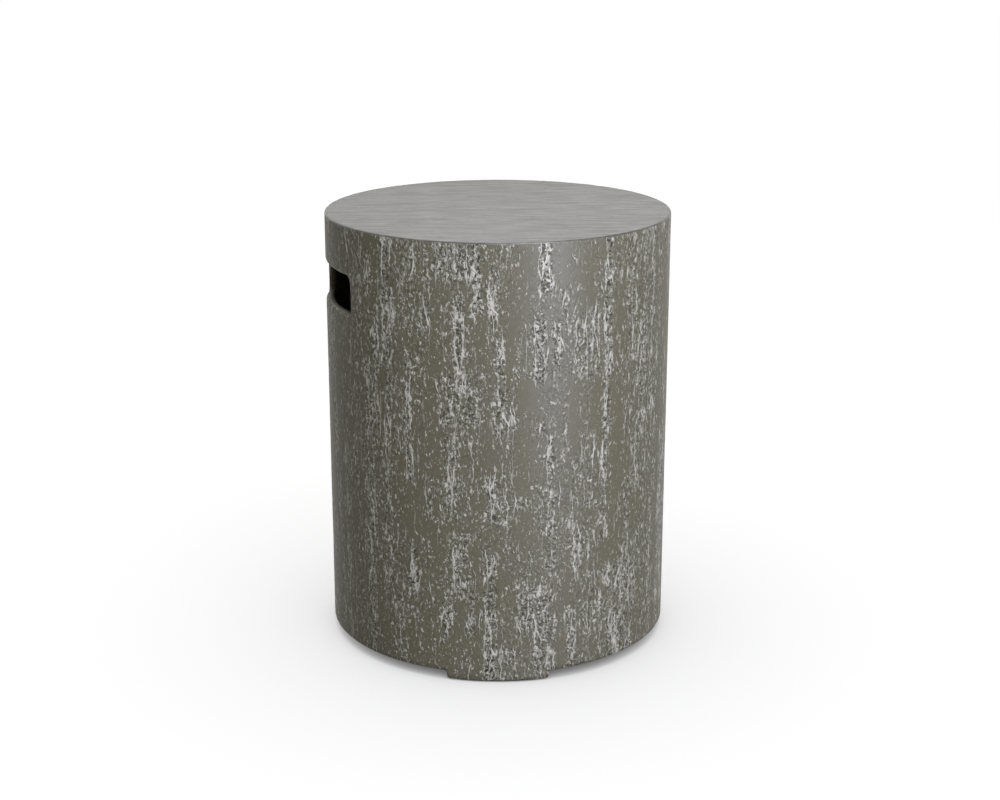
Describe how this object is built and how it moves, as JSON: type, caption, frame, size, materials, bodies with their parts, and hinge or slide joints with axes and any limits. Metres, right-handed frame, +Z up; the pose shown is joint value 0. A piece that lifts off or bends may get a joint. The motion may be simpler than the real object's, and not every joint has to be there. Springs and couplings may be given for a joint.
{
  "type": "gas bottle cover table",
  "caption": "Round drum-shaped patio side table cast in fibre-reinforced stone, hollow and open below to cover an upright gas bottle, with hand slots, cut-back feet and a hose arch.",
  "frame": {"origin": "on the floor, under the middle of the drum", "axes": "+Z up the drum's axis to the table top, X through the two hand slots, -Y the front; the front foot stands 15 degrees from the front towards -X"},
  "size_m": [0.4064, 0.4064, 0.513],
  "materials": {
    "cast_stone": "satin",
    "glass_net": "matte",
    "pad_rubber": "matte"
  },
  "bodies": {
    "root": {"cover_shell": "cast_stone", "top_scrim": "glass_net", "wall_scrim": "glass_net", "foot_pad_front": "pad_rubber", "foot_pad_right_rear": "pad_rubber", "foot_pad_left_rear": "pad_rubber"}
  },
  "joints": []
}
